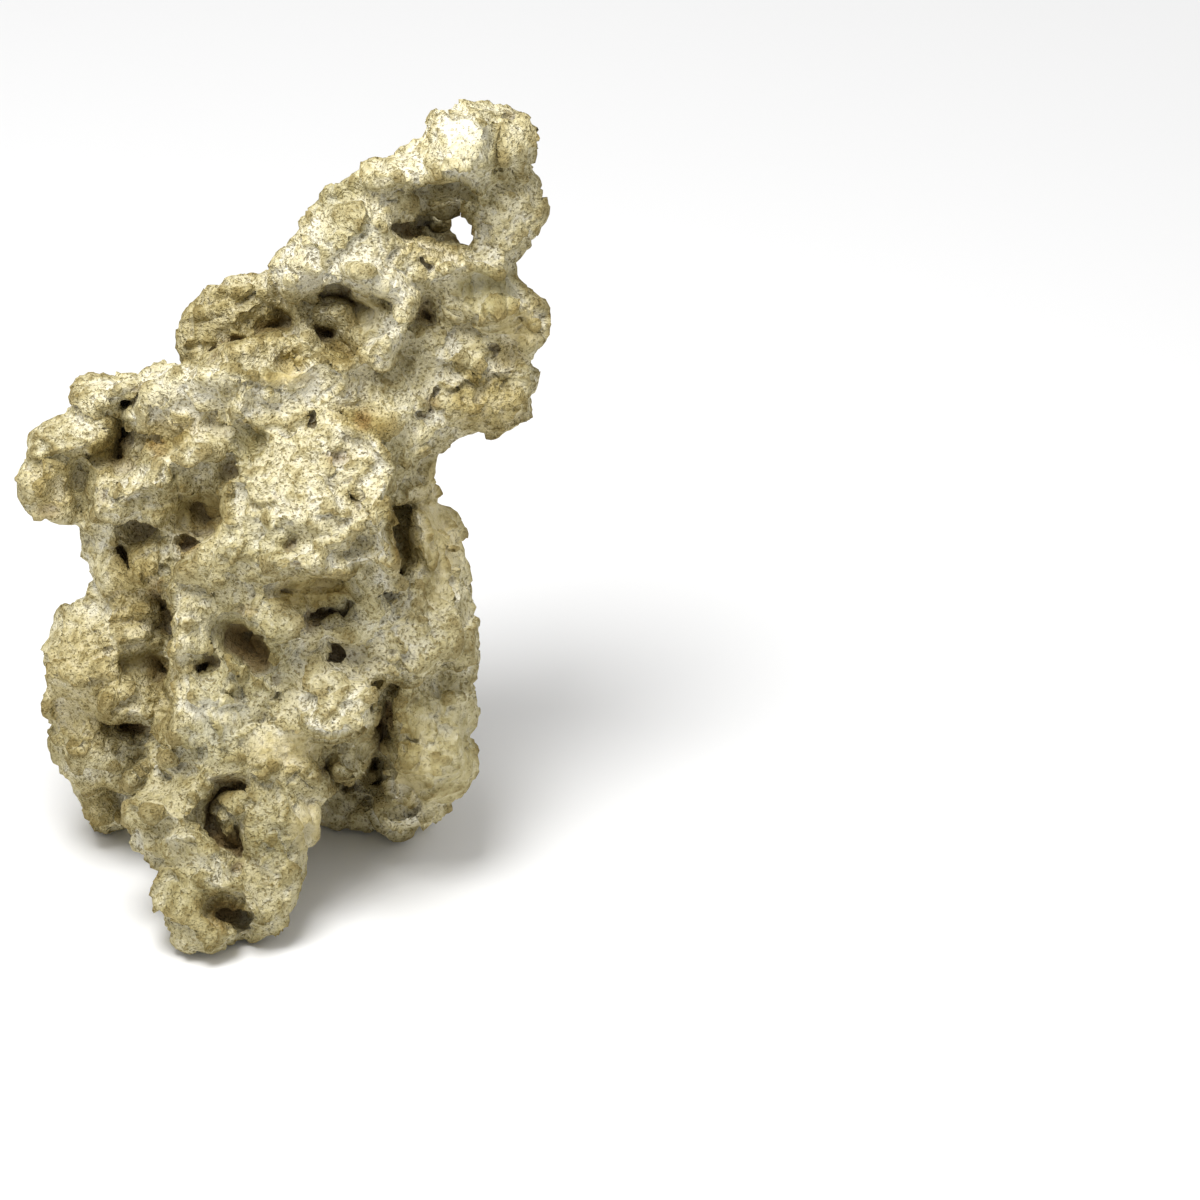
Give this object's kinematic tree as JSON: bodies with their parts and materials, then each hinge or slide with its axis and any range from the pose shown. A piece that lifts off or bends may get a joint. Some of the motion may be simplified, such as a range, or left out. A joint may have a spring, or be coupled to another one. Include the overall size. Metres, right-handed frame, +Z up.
{
  "type": "dry reef rock",
  "caption": "Tall porous piece of dry reef limestone with ledges, caves and a small window, for an aquarium or aquascape.",
  "frame": {"origin": "middle of the rock's footprint box, at the height of the flats it stands on", "axes": "+Z up as the rock stands, -Y towards the viewer of the picture, +X to the viewer's right"},
  "size_m": [0.158, 0.1342, 0.2471],
  "materials": {
    "reef_limestone": "dull, porous, cream to ochre"
  },
  "bodies": {
    "root": {"reef_rock": "reef_limestone"}
  },
  "joints": []
}
